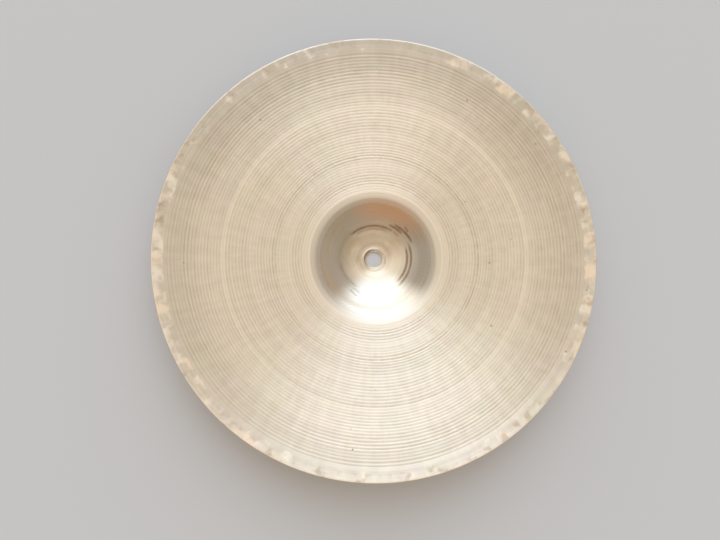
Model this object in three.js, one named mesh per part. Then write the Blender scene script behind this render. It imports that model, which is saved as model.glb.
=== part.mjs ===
// A bare bronze cymbal, 14 inches across, lying on its bell with the hollow side up.
//
// Frame: +Z is up. The origin is on the axis of the centre hole, in the plane of the flat land round the
// hole, which is what the cymbal stands on. Lengths are in millimetres.
//
// A cymbal is one disc of cast, rolled, hammered and lathed bronze, with nothing fastened to it, so
// the whole object is one mesh. Its section is a centreline from the hole to the rim, with half of the
// sheet's thickness on each side of it: a flat land round the hole, the bell, the bow and a round rim.
// The section is turned about the axis of the hole.

import * as THREE from "three";

// Driving dimensions
const DIAMETER = 355.6; // across the rim
const HEIGHT = 44; // from the land that it stands on to the top of the rim
const HOLE_DIAMETER = 13.4; // takes a hand strap or a stand's rod
const LAND_DIAMETER = 18.8; // flat ring round the hole, on both faces
const BELL_THICKNESS = 1.6;
const RIM_THICKNESS = 1.0;

// The bell, from the land outwards, as arcs of the centreline. Each one ends at a diameter with a slope
// in degrees, and is divided into steps.
const BELL_ARCS = [
  { part: "wall", diameter: 88, slope: 42, steps: 5 },
  { part: "brow, where the wall eases", diameter: 100.4, slope: 30, steps: 1 },
  { part: "corner at the bell's mouth", diameter: 103.2, slope: 17, steps: 2 },
  { part: "flared ring", diameter: 108.8, slope: 15, steps: 1 },
  { part: "shoulder, where the bow begins", diameter: 112, slope: 7, steps: 1 },
];

// How finely the rest is divided
const TURN_SEGMENTS = 96;
const BOW_STEPS = 7;
const RIM_STEP = Math.PI / 6;

const SHOULDER_RADIUS = BELL_ARCS.at(-1).diameter / 2;
const RIM_CENTRE_RADIUS = (DIAMETER - RIM_THICKNESS) / 2;
const RIM_CENTRE_HEIGHT = HEIGHT - RIM_THICKNESS / 2;

// A point of the centreline is { r, z, slope }, where slope is the angle of the centreline there.

// The arc that leaves the point `start` along its slope, and has the slope endSlope at radius endRadius.
function arcFrom(start, endRadius, endSlope, steps) {
  const bend = (endRadius - start.r) / (Math.sin(endSlope) - Math.sin(start.slope));
  const points = [];
  for (let i = 1; i <= steps; i += 1) {
    const slope = THREE.MathUtils.lerp(start.slope, endSlope, i / steps);
    points.push({
      r: start.r + bend * (Math.sin(slope) - Math.sin(start.slope)),
      z: start.z + bend * (Math.cos(start.slope) - Math.cos(slope)),
      slope,
    });
  }
  return points;
}

// The bow is one arc from the shoulder to the centre of the rim's rounding. An arc turns as much before
// the middle of its chord as after it, which gives the slope at its end.
function bowFrom(start) {
  const chordSlope = Math.atan2(RIM_CENTRE_HEIGHT - start.z, RIM_CENTRE_RADIUS - start.r);
  return arcFrom(start, RIM_CENTRE_RADIUS, 2 * chordSlope - start.slope, BOW_STEPS);
}

function centreline() {
  const holeEdge = { r: HOLE_DIAMETER / 2, z: BELL_THICKNESS / 2, slope: 0 };
  const landEdge = { r: LAND_DIAMETER / 2, z: BELL_THICKNESS / 2, slope: 0 };
  const line = [holeEdge, landEdge];
  for (const { diameter, slope, steps } of BELL_ARCS) {
    line.push(...arcFrom(line.at(-1), diameter / 2, THREE.MathUtils.degToRad(slope), steps));
  }
  line.push(...bowFrom(line.at(-1)));
  return line;
}

// The bell keeps its full thickness. The bow thins evenly from the shoulder to the rim.
function thicknessAt(radius) {
  const toRim = RIM_CENTRE_RADIUS - radius;
  const bowWidth = RIM_CENTRE_RADIUS - SHOULDER_RADIUS;
  return THREE.MathUtils.lerp(RIM_THICKNESS, BELL_THICKNESS, Math.min(1, toRim / bowWidth));
}

// The point of one face beside a point of the centreline. side is 1 for the hollow face and -1 for the
// crowned one.
function facePoint(point, side) {
  const offset = (side * thicknessAt(point.r)) / 2;
  return new THREE.Vector2(
    point.r - offset * Math.sin(point.slope),
    point.z + offset * Math.cos(point.slope),
  );
}

// The rounded edge, from below the rim's widest circle up to its top.
function rimRounding() {
  const radius = RIM_THICKNESS / 2;
  const points = [];
  for (let i = -2; i <= 3; i += 1) {
    const angle = i * RIM_STEP;
    points.push(
      new THREE.Vector2(
        RIM_CENTRE_RADIUS + radius * Math.cos(angle),
        RIM_CENTRE_HEIGHT + radius * Math.sin(angle),
      ),
    );
  }
  return points;
}

// The closed section: out along the crowned face, round the rim, and back along the hollow face.
function section() {
  const line = centreline();
  const crownedFace = line.map((point) => facePoint(point, -1));
  const hollowFace = line.map((point) => facePoint(point, 1)).reverse();
  return [...crownedFace, ...rimRounding(), ...hollowFace, crownedFace[0].clone()];
}

function cymbal() {
  const geometry = new THREE.LatheGeometry(section(), TURN_SEGMENTS);
  geometry.rotateX(Math.PI / 2); // the lathe turns about Y, and the cymbal's axis is Z
  const bronze = new THREE.MeshStandardMaterial({ color: 0xc9b48c, roughness: 0.35, metalness: 1 });
  const mesh = new THREE.Mesh(geometry, bronze);
  mesh.name = "cymbal";
  return mesh;
}

const part = new THREE.Group();
part.add(cymbal());

export default part;
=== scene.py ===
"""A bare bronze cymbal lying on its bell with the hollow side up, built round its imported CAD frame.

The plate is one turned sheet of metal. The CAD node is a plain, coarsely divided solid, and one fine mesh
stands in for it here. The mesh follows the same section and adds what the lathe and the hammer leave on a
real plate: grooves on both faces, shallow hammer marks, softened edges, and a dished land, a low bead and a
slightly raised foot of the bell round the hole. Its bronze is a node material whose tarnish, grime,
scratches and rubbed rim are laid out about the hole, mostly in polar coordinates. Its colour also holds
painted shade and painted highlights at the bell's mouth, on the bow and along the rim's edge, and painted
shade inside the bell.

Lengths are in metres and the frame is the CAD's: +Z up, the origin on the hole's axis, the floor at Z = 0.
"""

import math
import random
from collections import namedtuple

import bpy
from mathutils import Matrix, Vector


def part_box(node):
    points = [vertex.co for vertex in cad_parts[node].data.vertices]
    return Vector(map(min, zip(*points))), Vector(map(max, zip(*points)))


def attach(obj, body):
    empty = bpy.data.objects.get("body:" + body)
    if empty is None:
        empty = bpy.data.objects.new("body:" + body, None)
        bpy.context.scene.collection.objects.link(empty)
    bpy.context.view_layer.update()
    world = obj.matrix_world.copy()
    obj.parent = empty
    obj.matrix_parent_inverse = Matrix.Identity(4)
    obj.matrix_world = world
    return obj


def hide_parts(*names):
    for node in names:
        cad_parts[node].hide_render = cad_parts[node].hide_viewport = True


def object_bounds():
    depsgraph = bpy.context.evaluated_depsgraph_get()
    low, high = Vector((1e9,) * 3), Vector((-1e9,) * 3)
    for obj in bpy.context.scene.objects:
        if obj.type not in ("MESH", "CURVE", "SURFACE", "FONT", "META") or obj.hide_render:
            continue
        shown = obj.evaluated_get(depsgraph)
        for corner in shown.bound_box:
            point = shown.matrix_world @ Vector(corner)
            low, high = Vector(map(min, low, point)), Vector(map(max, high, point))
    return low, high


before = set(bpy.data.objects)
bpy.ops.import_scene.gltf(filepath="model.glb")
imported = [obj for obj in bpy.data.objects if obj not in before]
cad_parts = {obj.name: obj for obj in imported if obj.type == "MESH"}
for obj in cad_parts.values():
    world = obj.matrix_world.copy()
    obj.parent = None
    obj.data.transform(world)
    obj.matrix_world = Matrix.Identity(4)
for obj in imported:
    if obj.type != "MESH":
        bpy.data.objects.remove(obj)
cad_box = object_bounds()

MM = 0.001

# ---------------------------------------------------------------- section of the plate

RIM_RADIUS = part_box("cymbal")[1].x
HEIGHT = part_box("cymbal")[1].z
HOLE_RADIUS = 6.7 * MM
LAND_RADIUS = 9.4 * MM
BELL_THICKNESS = 1.6 * MM
RIM_THICKNESS = 1.0 * MM

# The bell, from the land outwards: where each arc of the centreline ends, and its slope there in degrees.
MOUTH_RADIUS = 50.2 * MM
SHOULDER_RADIUS = 56.0 * MM
BELL_ARCS = (
    (44.0 * MM, 42),  # the wall
    (MOUTH_RADIUS, 30),  # its brow
    (51.6 * MM, 17),  # the corner at the bell's mouth
    (54.4 * MM, 15),  # a flared ring
    (SHOULDER_RADIUS, 7),  # the shoulder
)

RIM_CENTRE_RADIUS = RIM_RADIUS - RIM_THICKNESS / 2
RIM_CENTRE_HEIGHT = HEIGHT - RIM_THICKNESS / 2

HOLLOW = 1
CROWNED = -1


class Arc:
    """A stretch of the centreline, from one radius to another, whose slope turns evenly."""

    def __init__(self, radius, height, slope, end_radius, end_slope):
        self.radius = radius
        self.height = height
        self.slope = slope
        self.end_radius = end_radius
        self.end_slope = end_slope
        self.bend = (end_radius - radius) / (math.sin(end_slope) - math.sin(slope))

    def at(self, radius):
        """Height and slope of the centreline at a radius."""
        slope = math.asin(math.sin(self.slope) + (radius - self.radius) / self.bend)
        return self.height + self.bend * (math.cos(self.slope) - math.cos(slope)), slope

    def next(self, end_radius, end_slope):
        """The arc that goes on from the end of this one."""
        return Arc(self.end_radius, self.at(self.end_radius)[0], self.end_slope, end_radius, end_slope)


def section_arcs():
    """The arcs of the bell, and then the bow."""
    wall_radius, wall_slope = BELL_ARCS[0]
    arcs = [Arc(LAND_RADIUS, BELL_THICKNESS / 2, 0.0, wall_radius, math.radians(wall_slope))]
    for end_radius, slope in BELL_ARCS[1:]:
        arcs.append(arcs[-1].next(end_radius, math.radians(slope)))
    shoulder = arcs[-1]
    rise = RIM_CENTRE_HEIGHT - shoulder.at(shoulder.end_radius)[0]
    chord_slope = math.atan2(rise, RIM_CENTRE_RADIUS - shoulder.end_radius)
    arcs.append(shoulder.next(RIM_CENTRE_RADIUS, 2 * chord_slope - shoulder.end_slope))
    return arcs


ARCS = section_arcs()


def centreline(radius):
    """Height and slope of the centreline at any radius from the hole to the rim."""
    if radius <= LAND_RADIUS:
        return BELL_THICKNESS / 2, 0.0
    arc = next((a for a in ARCS if radius <= a.end_radius), ARCS[-1])
    return arc.at(radius)


def thickness(radius):
    """The bell keeps its full thickness. The bow thins evenly towards the rim."""
    share = min(1.0, (RIM_CENTRE_RADIUS - radius) / (RIM_CENTRE_RADIUS - SHOULDER_RADIUS))
    return RIM_THICKNESS + (BELL_THICKNESS - RIM_THICKNESS) * share


# ---------------------------------------------------------------- fine shape of the plate

TURN_SEGMENTS = 224
EDGE_ROUNDING = 0.3 * MM
CORNER_STEPS = 3
RIM_ANGLE_STEP = math.pi / 10

GROOVE_SEED = 14
GROOVE_DEPTH = 0.21 * MM
# The rings of one groove: how far across it each lies, and its share of the groove's depth.
GROOVE_PHASES = ((0.0, 0.0), (0.3, 0.35), (0.55, 1.0), (0.8, 0.4))
GROOVE_WIDTHS = (0.90, 1.10)  # least and most, as shares of the pitch
LEAST_CUT = 0.45  # of the usual depth
MOST_CUT_AT_BELL = 0.80
MOST_CUT_AT_RIM = 1.00
# How hard the lathe has cut the bow, as radii in mm and the share of the usual depth at each.
GROOVE_ZONES = (
    (56, 0.35),
    (59, 0.80),
    (61, 1.25),
    (68, 1.15),
    (72, 0.55),
    (78, 0.60),
    (82, 1.35),
    (89, 1.30),
    (93, 0.95),
    (106, 0.80),
    (114, 1.05),
    (124, 0.80),
    (138, 0.90),
    (143, 1.50),
    (149, 1.30),
    (154, 0.90),
    (168, 0.90),
)
HOLLOW_PITCHES = (2.3 * MM, 2.55 * MM)  # next to the bell, and next to the rim
CROWNED_PITCHES = (3.2 * MM, 3.6 * MM)
RIM_BAND = 9 * MM  # the width that the lathe leaves without grooves
RIM_BAND_EDGE = 2 * MM  # from the last groove to the first ring of the band

# How many rings the smooth stretches of each face have
CROWNED_BELL_RINGS = 26
CROWNED_SHOULDER_RINGS = 12
CROWNED_BAND_RINGS = 3
HOLLOW_BELL_RINGS = 24
HOLLOW_SHOULDER_RINGS = 14
HOLLOW_BAND_RINGS = 5

LAND_DISH = 0.10 * MM
BELL_FOOT_RADIUS = 28.0 * MM  # where the foot of the bell runs out into its wall
# Rings of the land and the foot of the bell on the hollow face: the radius, and how far the ring lies below
# the plain section, both in mm.
LAND_PROFILE = (
    (7.5, 0.10),
    (8.1, 0.06),
    (8.7, 0.01),
    (9.2, -0.02),
    (9.8, 0.03),
    (10.4, 0.05),
    (11.2, -0.01),
    (12.3, -0.11),
    (13.8, -0.20),
    (15.8, -0.23),
    (18.0, -0.19),
    (20.5, -0.12),
    (23.0, -0.05),
    (26.0, -0.01),
)

HAMMER_SEED = 41
HAMMER_ROWS = 9
HAMMER_FIRST_ROW = 0.7  # of a row's width out from the shoulder
HAMMER_PITCH = 16 * MM
HAMMER_DEPTH = 0.10 * MM
HAMMER_STRENGTHS = (0.2, 1.0)  # least and most, as shares of the depth


def face_ring(radius, side, cut=0.0):
    """A ring of one face, cut below the turned surface. It is (radius, height, cut)."""
    height, slope = centreline(radius)
    offset = side * (thickness(radius) / 2 - cut)
    return radius - offset * math.sin(slope), height + offset * math.cos(slope), cut


def groove_strength(radius):
    """The share of the usual groove depth at a radius, evenly between the zones that are listed."""
    for (low, low_share), (high, high_share) in zip(GROOVE_ZONES, GROOVE_ZONES[1:]):
        if radius < high * MM:
            return low_share + (high_share - low_share) * (radius / MM - low) / (high - low)
    return GROOVE_ZONES[-1][1]


def grooved_rings(start, end, side, pitches, draws):
    """Rings from one radius to another along a grooved face."""
    rings = []
    radius = start
    while radius < end - pitches[1]:
        share = (radius - start) / (end - start)
        pitch = pitches[0] + (pitches[1] - pitches[0]) * share
        width = pitch * draws.uniform(*GROOVE_WIDTHS)
        most_cut = MOST_CUT_AT_BELL + (MOST_CUT_AT_RIM - MOST_CUT_AT_BELL) * share
        cut = GROOVE_DEPTH * draws.uniform(LEAST_CUT, most_cut) * groove_strength(radius)
        for phase, depth in GROOVE_PHASES:
            rings.append(face_ring(radius + phase * width, side, cut * depth))
        radius += width
    rings.append(face_ring(radius, side))
    return rings


def even_rings(start, end, side, count):
    """Smooth rings along one face, the last one left to the next stretch."""
    return [face_ring(start + (end - start) * i / count, side) for i in range(count)]


def rounded_corner(radius, height, start):
    """A quarter turn about a point inside the sheet, from the angle start, turning forwards."""
    rings = []
    for i in range(CORNER_STEPS + 1):
        angle = start + math.pi / 2 * i / CORNER_STEPS
        rings.append((
            radius + EDGE_ROUNDING * math.cos(angle),
            height + EDGE_ROUNDING * math.sin(angle),
            0.0,
        ))
    return rings


def rim_rings():
    """The rounded rim, from the crowned face round to the hollow one."""
    rings = []
    for i in range(-4, 6):
        angle = i * RIM_ANGLE_STEP
        rings.append((
            RIM_CENTRE_RADIUS + RIM_THICKNESS / 2 * math.cos(angle),
            RIM_CENTRE_HEIGHT + RIM_THICKNESS / 2 * math.sin(angle),
            0.0,
        ))
    return rings


def land_rings():
    """The dished land round the hole on the hollow face, the low bead round it, and the bell's foot."""
    return [face_ring(radius * MM, HOLLOW, cut * MM) for radius, cut in LAND_PROFILE]


def section_rings():
    """The closed section as (radius, height, cut) rings: out on the crowned face, back on the hollow one."""
    draws = random.Random(GROOVE_SEED)
    corner_radius = HOLE_RADIUS + EDGE_ROUNDING
    groove_end = RIM_CENTRE_RADIUS - RIM_BAND
    band_start = groove_end + RIM_BAND_EDGE
    rings = rounded_corner(corner_radius, EDGE_ROUNDING, math.pi)
    rings += even_rings(LAND_RADIUS, MOUTH_RADIUS, CROWNED, CROWNED_BELL_RINGS)
    rings += even_rings(MOUTH_RADIUS, SHOULDER_RADIUS, CROWNED, CROWNED_SHOULDER_RINGS)
    rings += grooved_rings(SHOULDER_RADIUS, groove_end, CROWNED, CROWNED_PITCHES, draws)
    rings += even_rings(band_start, RIM_CENTRE_RADIUS, CROWNED, CROWNED_BAND_RINGS)
    rings += rim_rings()
    hollow = land_rings()
    hollow += even_rings(BELL_FOOT_RADIUS, MOUTH_RADIUS, HOLLOW, HOLLOW_BELL_RINGS)
    hollow += even_rings(MOUTH_RADIUS, SHOULDER_RADIUS, HOLLOW, HOLLOW_SHOULDER_RINGS)
    hollow += grooved_rings(SHOULDER_RADIUS, groove_end, HOLLOW, HOLLOW_PITCHES, draws)
    hollow += even_rings(band_start, RIM_RADIUS, HOLLOW, HOLLOW_BAND_RINGS)
    rings += reversed(hollow)
    rings += rounded_corner(corner_radius, BELL_THICKNESS - LAND_DISH - EDGE_ROUNDING, math.pi / 2)
    return rings


def hammer_rows():
    """Rows of hammer marks round the bow: radius, how many marks, where they start, how strong each is."""
    draws = random.Random(HAMMER_SEED)
    rows = []
    for i in range(HAMMER_ROWS):
        out = (i + HAMMER_FIRST_ROW) / HAMMER_ROWS
        radius = SHOULDER_RADIUS + out * (RIM_RADIUS - SHOULDER_RADIUS)
        marks = round(math.tau * radius / HAMMER_PITCH)
        start = draws.random()
        rows.append((radius, marks, start, [draws.uniform(*HAMMER_STRENGTHS) for _ in range(marks)]))
    return rows


def hammer_lift(radius, turn, rows):
    """How far the hammer has pushed the sheet down (negative) at a radius and a share of a turn."""
    reach = (RIM_RADIUS - SHOULDER_RADIUS) / HAMMER_ROWS
    lift = 0.0
    for row_radius, marks, start, depths in rows:
        across = (radius - row_radius) / reach
        if abs(across) < 1:
            place = turn * marks + start
            nearest = math.floor(place + 0.5)
            along = place - nearest
            shape = math.cos(across * math.pi / 2) ** 2 * math.cos(along * math.pi) ** 2
            lift -= HAMMER_DEPTH * depths[nearest % marks] * shape
    return lift


def plate_mesh():
    """The whole plate as one closed mesh of quads, with the depth of its grooves as an attribute."""
    rings = section_rings()
    rows = hammer_rows()
    points = []
    cuts = []
    for radius, height, cut in rings:
        cuts += [cut / GROOVE_DEPTH] * TURN_SEGMENTS
        for j in range(TURN_SEGMENTS):
            turn = j / TURN_SEGMENTS
            angle = math.tau * turn
            lift = hammer_lift(radius, turn, rows)
            points.append((radius * math.cos(angle), radius * math.sin(angle), height + lift))
    quads = []
    for i in range(len(rings)):
        this_ring = i * TURN_SEGMENTS
        next_ring = (i + 1) % len(rings) * TURN_SEGMENTS
        for j in range(TURN_SEGMENTS):
            k = (j + 1) % TURN_SEGMENTS
            quads.append((this_ring + j, this_ring + k, next_ring + k, next_ring + j))
    mesh = bpy.data.meshes.new("cymbal_plate")
    mesh.from_pydata(points, [], quads)
    mesh.shade_smooth()
    mesh.attributes.new("groove", "FLOAT", "POINT").data.foreach_set("value", cuts)
    return mesh


# ---------------------------------------------------------------- shader building

Place = namedtuple("Place", "radius angle east north x y")


class Shader:
    """Adds nodes to a node tree. Apart from feed, each method returns the socket that holds its result."""

    def __init__(self, tree):
        self.nodes = tree.nodes
        self.links = tree.links

    def feed(self, socket, value):
        if isinstance(value, bpy.types.NodeSocket):
            self.links.new(value, socket)
        else:
            socket.default_value = value

    def math(self, operation, *values):
        node = self.nodes.new("ShaderNodeMath")
        node.operation = operation
        for socket, value in zip(node.inputs, values):
            self.feed(socket, value)
        return node.outputs[0]

    def add(self, first, second):
        return self.math("ADD", first, second)

    def times(self, first, *others):
        product = first
        for other in others:
            product = self.math("MULTIPLY", product, other)
        return product

    def plus(self, total, *factors):
        """A total with the product of some factors added to it."""
        return self.add(total, self.times(*factors))

    def ramp(self, value, low, high, out_low=0.0, out_high=1.0):
        """A smooth step from out_low to out_high as the value goes from low to high."""
        node = self.nodes.new("ShaderNodeMapRange")
        node.interpolation_type = "SMOOTHSTEP"
        self.feed(node.inputs["Value"], value)
        node.inputs["From Min"].default_value = low
        node.inputs["From Max"].default_value = high
        node.inputs["To Min"].default_value = out_low
        node.inputs["To Max"].default_value = out_high
        return node.outputs["Result"]

    def near(self, value, middle, reach):
        """1 where the value is at the middle, falling smoothly to 0 at reach from it."""
        away = self.math("ABSOLUTE", self.math("SUBTRACT", value, middle))
        return self.ramp(away, 0.0, reach, 1.0, 0.0)

    def ring(self, place, start, full, fade, end):
        """1 from the radius full to the radius fade in mm, falling smoothly to 0 at start and at end."""
        inner = self.ramp(place.radius, start, full)
        outer = self.ramp(place.radius, fade, end, 1.0, 0.0)
        return self.times(inner, outer)

    def turned(self, place, middle):
        """The angle from a direction, in degrees from -180 to 180."""
        return self.math("WRAP", self.math("SUBTRACT", place.angle, middle), 180.0, -180.0)

    def sector(self, place, middle, half, soft):
        """1 within half of a direction in degrees, falling smoothly to 0 over the soft edge outside it."""
        away = self.math("ABSOLUTE", self.turned(place, middle))
        return self.ramp(away, half, half + soft, 1.0, 0.0)

    def noise(self, vector, detail=2.0):
        node = self.nodes.new("ShaderNodeTexNoise")
        node.inputs["Scale"].default_value = 1.0
        node.inputs["Detail"].default_value = detail
        self.feed(node.inputs["Vector"], vector)
        return node.outputs["Fac"]

    def combine(self, x, y, z):
        node = self.nodes.new("ShaderNodeCombineXYZ")
        for socket, value in zip(node.inputs, (x, y, z)):
            self.feed(socket, value)
        return node.outputs[0]

    def turned_noise(self, place, along, across, detail=2.0, shift=0.0):
        """Noise laid round the plate: along features to a radian of turn, across features to a mm."""
        return self.noise(
            self.combine(
                self.times(place.east, along),
                self.times(place.north, along),
                self.add(self.times(place.radius, across), shift),
            ),
            detail,
        )

    def blend(self, factor, low, high, how="MIX"):
        """One colour laid over another by a factor."""
        node = self.nodes.new("ShaderNodeMix")
        node.data_type = "RGBA"
        node.blend_type = how
        self.feed(node.inputs["Factor"], factor)
        for socket, value in ((node.inputs[6], low), (node.inputs[7], high)):
            self.feed(socket, value if isinstance(value, bpy.types.NodeSocket) else (*value, 1.0))
        return node.outputs[2]

    def largest(self, values):
        result = values[0]
        for value in values[1:]:
            result = self.math("MAXIMUM", result, value)
        return result


def polar(shader):
    """Radius and place in millimetres, angle in degrees from +X, and the unit direction from the axis."""
    split = shader.nodes.new("ShaderNodeSeparateXYZ")
    shader.links.new(shader.nodes.new("ShaderNodeTexCoord").outputs["Object"], split.inputs[0])
    x = shader.math("DIVIDE", split.outputs[0], MM)
    y = shader.math("DIVIDE", split.outputs[1], MM)
    squares = shader.add(shader.times(x, x), shader.times(y, y))
    radius = shader.math("MAXIMUM", shader.math("SQRT", squares), 1.0)
    angle = shader.math("DEGREES", shader.math("ARCTAN2", y, x))
    return Place(radius, angle, shader.math("DIVIDE", x, radius), shader.math("DIVIDE", y, radius), x, y)


# ---------------------------------------------------------------- bronze

BLACK = (0.0, 0.0, 0.0)
PINK_BRONZE = (0.895, 0.728, 0.545)
OLIVE_BRONZE = (0.875, 0.732, 0.53)
# the rubbed rim's colours, which its painted edge highlight also takes
RUBBED_AND_HIGHLIGHT_BRONZE = (0.97, 0.83, 0.65)
RUBBED_AND_HIGHLIGHT_COPPER = (0.99, 0.76, 0.54)
BROWNED_BRONZE = (0.60, 0.40, 0.24)
GRIME = (0.32, 0.20, 0.07)
HOLE_DARK_BROWN = (0.18, 0.11, 0.055)
SCRATCH_BROWN = (0.24, 0.12, 0.045)
# the brownish tint of the painted shade inside the bell
BELL_SHADE_TINT = (0.66, 0.60, 0.52)

# How strongly each is laid over the bronze
GRIME_STRENGTH = 0.50
# the rubbed rim with its painted edge highlight
RUBBED_AND_HIGHLIGHT_STRENGTH = 0.65
BROWNED_STRENGTH = 0.45

BELL_ROUGHNESS = 0.27
BOW_ROUGHNESS = 0.37
ANISOTROPY = 0.8
ACROSS_THE_TURNING = 0.25  # turns the stretch of the highlights from along the grooves to across them

# Two sides of the plate, as directions in degrees from +X, about which the bow's painted shade and painted
# highlights are laid. In this material radii and heights are in mm.
BACK_SIDE = 90.0
FRONT_SIDE = 270.0

PIT_PITCH = 19.0  # the width of the cells that hold a pit each, or more often none
SCRATCH_REACH = 1.7  # how far to each side a scratch fades out
SCRATCH_TAPER = 0.6  # the share of half its length at which a scratch begins to fade towards its end
# Scratches inside the bell, each an arc about the hole: its radius in mm and direction in degrees at the
# middle, half its length in degrees, how much its radius grows in mm per degree, and how dark it is.
Scratch = namedtuple("Scratch", "radius middle half drift strength")
BELL_SCRATCHES = (
    Scratch(28.8, 98, 44, 0.0, 0.85),
    Scratch(26.5, 95, 36, 0.0, 0.40),
    Scratch(28.7, 66, 9, 0.0, 0.6),
    Scratch(32.0, 55, 14, 0.0, 0.8),
    Scratch(33.4, 52, 9, -0.04, 0.55),
    Scratch(34.5, 42, 21, -0.02, 0.9),
    Scratch(37.0, 43, 5, 0.14, 0.6),
    Scratch(28.8, 50, 7, 0.03, 0.35),
    Scratch(31.2, -11, 42, 0.02, 0.75),
    Scratch(27.9, -12, 38, 0.02, 0.80),
    Scratch(28.6, 212, 30, -0.03, 0.35),
    Scratch(34.6, 238, 8, 0.12, 0.35),
    Scratch(31.4, 240, 9, 0.08, 0.25),
)


def mouth_painted_light(shader, place):
    """Painted shade and painted highlight at the bell's mouth, as how much darker it is, or how much lighter
    where
    it is negative: painted shade on the flared ring towards 125 degrees and in a dark line round the mouth's
    corner, and a bright line of painted highlight along the shoulder.
    """
    # painted shade: the flared ring darker towards 125 degrees
    flared_ring = shader.ring(place, 50.4, 50.9, 54.4, 55.0)
    tone = shader.times(flared_ring, shader.sector(place, 125.0, 50.0, 60.0), 0.06)
    # painted shade: a dark line round the corner of the bell's mouth
    dark_line = shader.near(place.radius, 49.4, 0.9)
    tone = shader.plus(tone, dark_line, 0.07)
    # painted highlight: a bright line along the shoulder
    bright_line = shader.near(place.radius, 55.7, 1.0)
    return shader.plus(tone, bright_line, -0.09)


def bow_painted_light(shader, place):
    """The same for the bow: painted shade that darkens it in a step past 126 mm and then outwards, most of
    all at the back and at the rim there, with the step lighter at the front, a lighter ring just inside the
    step, and a wedge of painted highlight at the back.
    """
    back = shader.sector(place, BACK_SIDE, 35.0, 70.0)
    front = shader.sector(place, FRONT_SIDE, 20.0, 60.0)
    # painted shade: a darker step past 126 mm, deepest at the back and lighter at the front
    step = shader.plus(shader.ramp(back, 0.0, 1.0, 0.03, 0.075), front, -0.06)
    tone = shader.times(shader.ramp(place.radius, 125.5, 127.0), step)
    bright_ring = shader.near(place.radius, 123.8, 3.0)
    tone = shader.plus(tone, bright_ring, -0.08)
    # painted shade that deepens outwards, most at the back
    fade = shader.ramp(back, 0.0, 1.0, 0.08, 0.12)
    tone = shader.plus(tone, shader.ramp(place.radius, 128.0, 168.0), fade)
    # painted highlight: a lighter wedge at the back
    painted_highlight_wedge = shader.sector(place, BACK_SIDE, 8.0, 34.0)
    tone = shader.plus(tone, shader.ring(place, 50.0, 54.0, 150.0, 166.0), painted_highlight_wedge, -0.06)
    # painted shade: the rim darker at the back
    rim = shader.ramp(place.radius, 171.0, 175.0)
    return shader.plus(tone, rim, back, 0.08)


def patina_and_painted_light(shader, place):
    """The bronze with its clouded tarnish, streaked round the plate, faint marks of the hammer across it,
    its tone in broad turned zones, and the painted shade and painted highlights of the bell's mouth and the
    bow. It is returned with the streaks."""
    cloud_place = shader.combine(shader.times(place.x, 0.03), shader.times(place.y, 0.03), 0.0)
    clouds = shader.noise(cloud_place, 3.0)
    colour = shader.blend(shader.ramp(clouds, 0.35, 0.65), PINK_BRONZE, OLIVE_BRONZE)
    streaks = shader.turned_noise(place, 0.8, 1.1, 3.0)
    dark = shader.ramp(streaks, 0.30, 0.70, 0.09, 0.0)
    zones = shader.turned_noise(place, 0.15, 0.11, 1.0, 7.0)
    dark = shader.add(dark, shader.ramp(zones, 0.35, 0.60, 0.05, 0.0))
    chatter = shader.ramp(shader.turned_noise(place, 22.0, 0.05, 2.0, 19.0), 0.38, 0.62)
    dark = shader.plus(dark, chatter, shader.ramp(place.radius, 58.0, 80.0, 0.0, 0.045))
    # painted shade and painted highlight at the bell's mouth
    dark = shader.add(dark, mouth_painted_light(shader, place))
    # painted shade and painted highlight on the bow
    dark = shader.add(dark, bow_painted_light(shader, place))
    return shader.blend(dark, colour, BLACK), streaks


def groove_grime(shader, place, streaks):
    """Grime in the bottoms of the grooves, broken up along them."""
    groove = shader.nodes.new("ShaderNodeAttribute")
    groove.attribute_name = "groove"
    broken = shader.turned_noise(place, 13.0, 0.3, 3.0, 6.0)
    depth = shader.times(groove.outputs["Fac"], shader.ramp(streaks, 0.30, 0.60, 0.5, 1.0))
    cleaner_side = shader.ramp(shader.sector(place, 205.0, 30.0, 50.0), 0.0, 1.0, 1.0, 0.65)
    return shader.times(depth, cleaner_side, shader.ramp(broken, 0.30, 0.65, 0.55, 1.15))


def bell_painted_shade(shader, place):
    """Painted shade: a brownish darkening between the hole and the steep of the bell's wall, thickest on one
    side.
    """
    clouds = shader.turned_noise(place, 1.6, 0.12, 2.0, 3.0)
    side = shader.ramp(shader.sector(place, 105.0, 45.0, 95.0), 0.0, 1.0, 0.05, 1.0)
    reach = shader.ring(place, 9.5, 15.0, 24.0, 42.0)
    return shader.times(side, reach, shader.ramp(clouds, 0.25, 0.60, 0.7, 1.0))


def bell_scratches(shader, place):
    """The arc-shaped scratches inside the bell, tapered at their ends."""
    marks = []
    for scratch in BELL_SCRATCHES:
        turn = shader.turned(place, scratch.middle)
        path = shader.add(shader.times(turn, scratch.drift), scratch.radius)
        away = shader.math("ABSOLUTE", turn)
        taper = scratch.half * SCRATCH_TAPER
        along = shader.ramp(away, taper, scratch.half, scratch.strength, 0.0)
        marks.append(shader.times(shader.near(place.radius, path, SCRATCH_REACH), along))
    broken = shader.turned_noise(place, 9.0, 0.9, 2.0, 5.0)
    return shader.times(shader.largest(marks), shader.ramp(broken, 0.32, 0.55, 0.75, 1.0))


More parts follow.
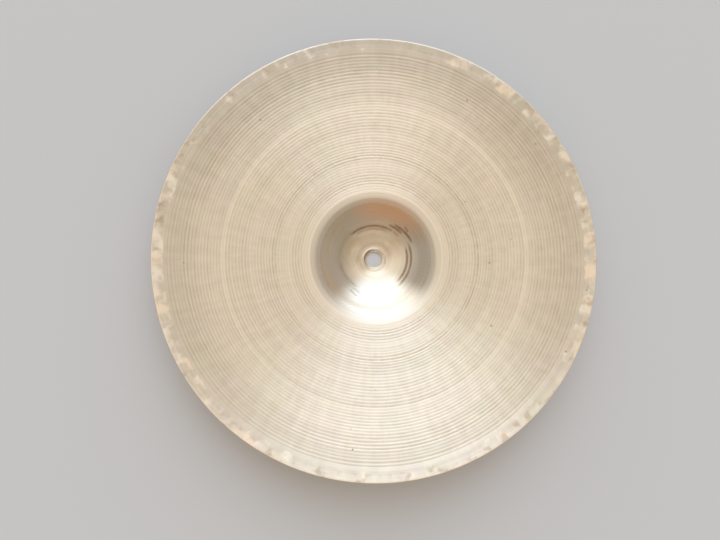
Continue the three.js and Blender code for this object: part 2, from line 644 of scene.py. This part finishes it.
def hole_darkening(shader, place):
    """Dark brown on the dished land round the hole, thickest towards 140 degrees, and at two sides of its
    bead, and a thin film of it on the foot of the bell."""
    side = shader.sector(place, 125.0, 75.0, 75.0)
    thickest = shader.sector(place, 140.0, 20.0, 50.0)
    on_land = shader.plus(shader.times(side, 0.65), thickest, 0.35)
    land = shader.times(shader.near(place.radius, 8.2, 2.0), on_land)
    bead_sides = shader.largest([
        shader.sector(place, 25.0, 32.0, 35.0),
        shader.sector(place, 205.0, 22.0, 35.0),
    ])
    bead = shader.times(shader.near(place.radius, 9.7, 1.7), bead_sides, 0.42)
    film_side = shader.sector(place, 115.0, 95.0, 40.0)
    film = shader.times(shader.ring(place, 9.6, 11.4, 12.0, 18.0), film_side, 0.28)
    broken = shader.turned_noise(place, 4.0, 0.4, 2.0, 9.0)
    return shader.times(shader.largest([land, film, bead]), shader.ramp(broken, 0.30, 0.60, 0.8, 1.0))


def rim_wear_and_highlight(shader, place):
    """The rim's plain band: where hands have rubbed it bright, mostly on two opposite sides, together with a
    painted highlight along the rim's outer edge, the colour of the rubbed metal, which the painted highlight
    takes too, and where the band has browned."""
    ragged = shader.turned_noise(place, 30.0, 0.0, 2.0, 2.0)
    edge = shader.add(place.radius, shader.ramp(ragged, 0.2, 0.8, -0.7, 0.7))
    band = shader.ramp(edge, 168.3, 169.3)
    patches = shader.turned_noise(place, 19.0, 0.09, 3.0, 11.0)
    handled = shader.largest([
        shader.sector(place, 18.0, 30.0, 28.0),
        shader.sector(place, 200.0, 28.0, 35.0),
    ])
    patches = shader.add(patches, shader.ramp(handled, 0.0, 1.0, -0.13, 0.03))
    rubbed = shader.times(band, shader.ramp(patches, 0.42, 0.66))
    warmth = shader.ramp(shader.turned_noise(place, 9.0, 0.03, 1.5, 23.0), 0.42, 0.60)
    rubbed_and_highlight_colour = shader.blend(warmth, RUBBED_AND_HIGHLIGHT_BRONZE, RUBBED_AND_HIGHLIGHT_COPPER)
    spots = shader.turned_noise(place, 24.0, 0.15, 2.5, 17.0)
    spots = shader.plus(spots, shader.sector(place, FRONT_SIDE, 35.0, 20.0), 0.06)
    browned = shader.times(shader.ramp(edge, 169.0, 173.0), shader.ramp(spots, 0.54, 0.74))
    # painted highlight: a bright line along the rim's outer edge, laid in with the rubbed patches
    painted_edge_highlight = shader.ramp(place.radius, 176.7, 177.2)
    return shader.math("MAXIMUM", rubbed, painted_edge_highlight), rubbed_and_highlight_colour, browned


def pits(shader, place):
    """Small dark pits, scattered thinly over the bow."""
    cells = shader.nodes.new("ShaderNodeTexVoronoi")
    cells.voronoi_dimensions = "2D"
    cells.inputs["Scale"].default_value = 1.0
    shader.links.new(
        shader.combine(shader.times(place.x, 1 / PIT_PITCH), shader.times(place.y, 1 / PIT_PITCH), 0.0),
        cells.inputs["Vector"],
    )
    split = shader.nodes.new("ShaderNodeSeparateXYZ")
    shader.links.new(cells.outputs["Color"], split.inputs[0])
    present = shader.ramp(split.outputs[0], 0.84, 0.94)
    size = shader.ramp(split.outputs[1], 0.0, 1.0, 0.02, 0.06)
    spot = shader.math("SUBTRACT", 1.0, shader.math("DIVIDE", cells.outputs["Distance"], size))
    return shader.times(shader.math("MAXIMUM", spot, 0.0), present, shader.ramp(place.radius, 56.0, 60.0))


def bronze(name):
    """Lathed bell bronze: metal whose highlights stretch across its turning marks. Its colour also holds
    painted shade and painted highlights.
    """
    material = bpy.data.materials.new(name)
    material.use_nodes = True
    shader = Shader(material.node_tree)
    surface = material.node_tree.nodes["Principled BSDF"]
    place = polar(shader)

    # the tarnish, with the painted shade and painted highlights of the bell's mouth and the bow
    colour, streaks = patina_and_painted_light(shader, place)
    grime = groove_grime(shader, place, streaks)
    scratches = bell_scratches(shader, place)
    # rubbed holds the rubbed rim and the painted highlight along its edge
    rubbed, rubbed_and_highlight_colour, browned = rim_wear_and_highlight(shader, place)
    dots = pits(shader, place)
    colour = shader.blend(shader.times(grime, GRIME_STRENGTH), colour, GRIME)
    # painted shade inside the bell
    colour = shader.blend(bell_painted_shade(shader, place), colour, BELL_SHADE_TINT, "MULTIPLY")
    colour = shader.blend(scratches, colour, SCRATCH_BROWN)
    colour = shader.blend(hole_darkening(shader, place), colour, HOLE_DARK_BROWN)
    # the rubbed rim and its painted edge highlight
    colour = shader.blend(shader.times(rubbed, RUBBED_AND_HIGHLIGHT_STRENGTH), colour, rubbed_and_highlight_colour)
    colour = shader.blend(shader.times(browned, BROWNED_STRENGTH), colour, BROWNED_BRONZE)
    colour = shader.blend(dots, colour, GRIME)
    shader.links.new(colour, surface.inputs["Base Color"])

    surface.inputs["Metallic"].default_value = 1.0
    surface.inputs["Anisotropic"].default_value = ANISOTROPY
    surface.inputs["Anisotropic Rotation"].default_value = ACROSS_THE_TURNING
    tangent = shader.nodes.new("ShaderNodeTangent")
    tangent.direction_type = "RADIAL"
    tangent.axis = "Z"
    shader.links.new(tangent.outputs[0], surface.inputs["Tangent"])

    roughness = shader.ramp(place.radius, 46.2, 47.4, BELL_ROUGHNESS, BOW_ROUGHNESS)
    roughness = shader.plus(roughness, rubbed, -0.04)
    roughness = shader.plus(roughness, shader.largest([scratches, dots, browned]), 0.15)
    shader.links.new(roughness, surface.inputs["Roughness"])

    lines = shader.turned_noise(place, 0.5, 1.6, 1.0, 4.0)
    dimples = shader.turned_noise(place, 19.0, 0.09, 2.0, 8.0)
    bow = shader.ramp(place.radius, 54.0, 62.0)
    hammered = shader.times(bow, shader.add(shader.near(place.radius, 115.0, 14.0), 0.6))
    height = shader.times(lines, shader.ramp(place.radius, 50.0, 54.0, 0.005, 0.012))
    height = shader.plus(height, dimples, hammered, 0.08)
    height = shader.plus(height, scratches, -0.03)
    height = shader.plus(height, dots, -0.08)
    bump = shader.nodes.new("ShaderNodeBump")
    bump.inputs["Distance"].default_value = MM
    shader.links.new(height, bump.inputs["Height"])
    shader.links.new(bump.outputs[0], surface.inputs["Normal"])
    return material


# ---------------------------------------------------------------- the plate

plate = bpy.data.objects.new("cymbal_plate", plate_mesh())
bpy.context.scene.collection.objects.link(plate)
plate.data.materials.append(bronze("bronze"))
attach(plate, "root")
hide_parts("cymbal")


# ---------------------------------------------------------------- floor, light and camera

FLOOR_HALF = 15.0
FLOOR_COLOUR = (0.70, 0.65, 0.58)
FLOOR_ROUGHNESS = 0.9
BACKGROUND_COLOUR = (0.56, 0.56, 0.57)
WALL_LIGHT = (0.385, 0.395, 0.425)
NEAR_WALL_LIGHT = (0.35, 0.335, 0.31)
CEILING_LIGHT = (1.05, 1.05, 1.04)
WARM_LIGHT = (0.52, 0.31, 0.20)
WARM_SIDE = (-0.26, -0.966, 0.0)
WINDOW_LIGHT = (1.65, 2.05, 2.7)
WINDOW_WEST_LIGHT = (1.7, 1.9, 2.2)  # towards -X
WINDOW_SIDE = (-0.02, 0.9998, 0.0)
NEAR_WALL_SIDE = (0.0, -1.0, 0.0)

# The camera's place and the point that it looks at, in mm from the middle of the rim
CAMERA_PLACE = (-44.3, -54.9, 474.7)
CAMERA_AIM = (-14.8, -12.9, 0.0)
CAMERA_SENSOR = 36.0
CAMERA_LENS = 30.15


def make_floor():
    corners = [(x * FLOOR_HALF, y * FLOOR_HALF, 0) for x, y in ((-1, -1), (1, -1), (1, 1), (-1, 1))]
    mesh = bpy.data.meshes.new("floor")
    mesh.from_pydata(corners, [], [(0, 1, 2, 3)])
    floor = bpy.data.objects.new("floor", mesh)
    floor.location.z = cad_box[0].z
    bpy.context.scene.collection.objects.link(floor)
    material = bpy.data.materials.new("pale_floor")
    material.use_nodes = True
    surface = material.node_tree.nodes["Principled BSDF"]
    surface.inputs["Base Color"].default_value = (*FLOOR_COLOUR, 1.0)
    surface.inputs["Roughness"].default_value = FLOOR_ROUGHNESS
    mesh.materials.append(material)


def facing(shader, direction, side):
    """How squarely a direction faces a side: the cosine of the angle between them."""
    node = shader.nodes.new("ShaderNodeVectorMath")
    node.operation = "DOT_PRODUCT"
    node.inputs[1].default_value = side
    shader.links.new(direction, node.inputs[0])
    return node.outputs["Value"]


def make_world():
    """A studio that grows lighter from the walls to the ceiling, with a warm wall in front of the plate and
    a wide, tall, cool window behind it. The camera itself sees a plain pale background."""
    world = bpy.data.worlds.new("studio")
    world.use_nodes = True
    shader = Shader(world.node_tree)
    direction = shader.nodes.new("ShaderNodeTexCoord").outputs["Generated"]
    split = shader.nodes.new("ShaderNodeSeparateXYZ")
    shader.links.new(direction, split.inputs[0])
    up = split.outputs[2]
    near_wall = shader.ramp(facing(shader, direction, NEAR_WALL_SIDE), 0.05, 0.40)
    light = shader.blend(near_wall, WALL_LIGHT, NEAR_WALL_LIGHT)
    warm = shader.ramp(facing(shader, direction, WARM_SIDE), 0.50, 0.88)
    light = shader.blend(warm, light, WARM_LIGHT)
    high = shader.plus(up, near_wall, -0.05)
    light = shader.blend(shader.ramp(high, 0.56, 1.02), light, CEILING_LIGHT)

    towards = facing(shader, direction, WINDOW_SIDE)
    level_squared = shader.math("SUBTRACT", 1.0, shader.times(up, up))
    level = shader.math("SQRT", shader.math("MAXIMUM", level_squared, 0.001))
    across = shader.plus(shader.math("DIVIDE", towards, level), up, -0.12)  # the window narrows upwards
    window = shader.times(shader.ramp(across, 0.58, 0.90), shader.ramp(towards, 0.21, 0.44))
    east = shader.ramp(split.outputs[0], -0.55, -0.05)
    window_light = shader.blend(east, WINDOW_WEST_LIGHT, WINDOW_LIGHT)
    light = shader.blend(window, light, window_light)
    seen = shader.nodes.new("ShaderNodeLightPath").outputs["Is Camera Ray"]
    light = shader.blend(seen, light, BACKGROUND_COLOUR)
    shader.links.new(light, world.node_tree.nodes["Background"].inputs["Color"])
    bpy.context.scene.world = world


def make_camera():
    rim_centre = Vector((0, 0, RIM_CENTRE_HEIGHT))
    place = rim_centre + Vector(CAMERA_PLACE) * MM
    aim = rim_centre + Vector(CAMERA_AIM) * MM
    forward = (aim - place).normalized()
    right = forward.cross(Vector((0, 1, 0))).normalized()
    up = right.cross(forward)
    camera = bpy.data.objects.new("camera", bpy.data.cameras.new("camera"))
    camera.data.sensor_width = CAMERA_SENSOR
    camera.data.lens = CAMERA_LENS
    camera.matrix_world = Matrix.Translation(place) @ Matrix((right, up, -forward)).transposed().to_4x4()
    bpy.context.scene.collection.objects.link(camera)
    bpy.context.scene.camera = camera


make_floor()
make_world()
make_camera()
bpy.context.scene.view_settings.view_transform = "Standard"
